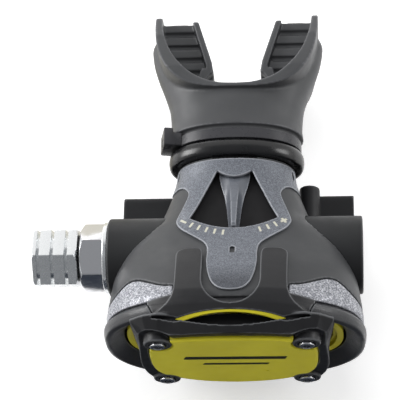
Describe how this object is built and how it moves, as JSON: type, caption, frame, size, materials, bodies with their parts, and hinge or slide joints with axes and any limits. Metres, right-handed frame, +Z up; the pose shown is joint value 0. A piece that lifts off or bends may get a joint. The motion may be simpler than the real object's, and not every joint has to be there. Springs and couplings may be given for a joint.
{
  "type": "diving regulator second stage",
  "caption": "Diving regulator second stage with side inlet connector, purge button, swinging venturi lever, mouthpiece and exhaust tee.",
  "frame": {"origin": "middle of the flat face under the exhaust tee, on which the regulator rests", "axes": "+Z up, +Y from the purge cover towards the mouthpiece, -X out of the hose inlet"},
  "size_m": [0.1138, 0.1352, 0.0698],
  "materials": {
    "case_plastic": "fine moulded texture",
    "barrel_plastic": "satin moulded",
    "silver_trim": "sparkling silver paint",
    "ring_plastic": "satin moulded",
    "yellow_plastic": "moulded",
    "cover_paint": "speckled grey paint",
    "lever_plastic": "gloss grey",
    "vane_plastic": "moulded",
    "seal_rubber": "gloss rubber",
    "mouthpiece_silicone": "matt silicone",
    "tie_nylon": "nylon",
    "membrane_silicone": "translucent grey",
    "stainless": "polished",
    "chrome": "bright plate",
    "satin_chrome": "satin plate",
    "brass": "machined",
    "poppet_plastic": "moulded",
    "seat_rubber": "moulded",
    "tee_plastic": "satin moulded"
  },
  "bodies": {
    "regulator": {"case": "case_plastic", "left_barrel": "barrel_plastic", "right_barrel": "barrel_plastic", "end_cap": "barrel_plastic", "side_trims": "silver_trim", "front_ring": "ring_plastic", "purge_cover": "yellow_plastic", "front_bridge": "ring_plastic", "bridge_screws": "stainless", "purge_spring": "stainless", "top_cover": "cover_paint", "neck_ring": "seal_rubber", "mouthpiece": "mouthpiece_silicone", "cable_tie": "tie_nylon", "diaphragm": "membrane_silicone", "lever_pin": "stainless", "valve_tube": "chrome", "orifice": "brass", "orifice_o_ring": "seal_rubber", "poppet_spring": "stainless", "spring_plug": "brass", "case_nut": "chrome", "nut_washer": "chrome", "connector_o_ring": "seal_rubber", "exhaust_valve": "membrane_silicone", "exhaust_tee": "tee_plastic"},
    "purge": {"purge_button": "yellow_plastic"},
    "disc": {"diaphragm_disc": "stainless"},
    "demand": {"demand_lever": "stainless"},
    "valve": {"poppet": "poppet_plastic", "poppet_seat": "seat_rubber"},
    "venturi": {"venturi_lever": "lever_plastic", "venturi_vane": "vane_plastic", "venturi_o_ring": "seal_rubber"},
    "hose_end": {"hose_connector": "satin_chrome"}
  },
  "joints": [
    {"name": "purge_press", "type": "slide", "parent": "regulator", "child": "purge", "axis": [0, 1, 0], "range_m": [0, 0.0025], "stiffness_N_per_m": 600, "springref_m": -0.002, "deforming": ["purge_spring"]},
    {"name": "diaphragm_lift", "type": "slide", "parent": "regulator", "child": "disc", "axis": [0, 1, 0], "range_m": [0, 0.0027]},
    {"name": "demand_lever_turn", "type": "hinge", "parent": "regulator", "child": "demand", "pos_m": [0.006, -0.01645, 0.035], "axis": [0, 0, 1], "range_deg": [-11, 0]},
    {"name": "poppet_slide", "type": "slide", "parent": "regulator", "child": "valve", "axis": [1, 0, 0], "range_m": [0, 0.0009], "deforming": ["poppet_spring"]},
    {"name": "venturi_swing", "type": "hinge", "parent": "regulator", "child": "venturi", "pos_m": [0, 0.0192, 0.0451], "axis": [0, 0.1736, 0.9848], "range_deg": [-25, 25]},
    {"name": "connector_swivel", "type": "hinge", "parent": "regulator", "child": "hose_end", "pos_m": [-0.0695, -0.0075, 0.035], "axis": [1, 0, 0], "continuous": true}
  ],
  "couplings": [
    {"joint": "diaphragm_lift", "follows": "purge_press", "ratio": 1},
    {"joint": "demand_lever_turn", "follows": "purge_press", "rad_per_m": -71.429},
    {"joint": "poppet_slide", "follows": "purge_press", "ratio": 0.339}
  ]
}
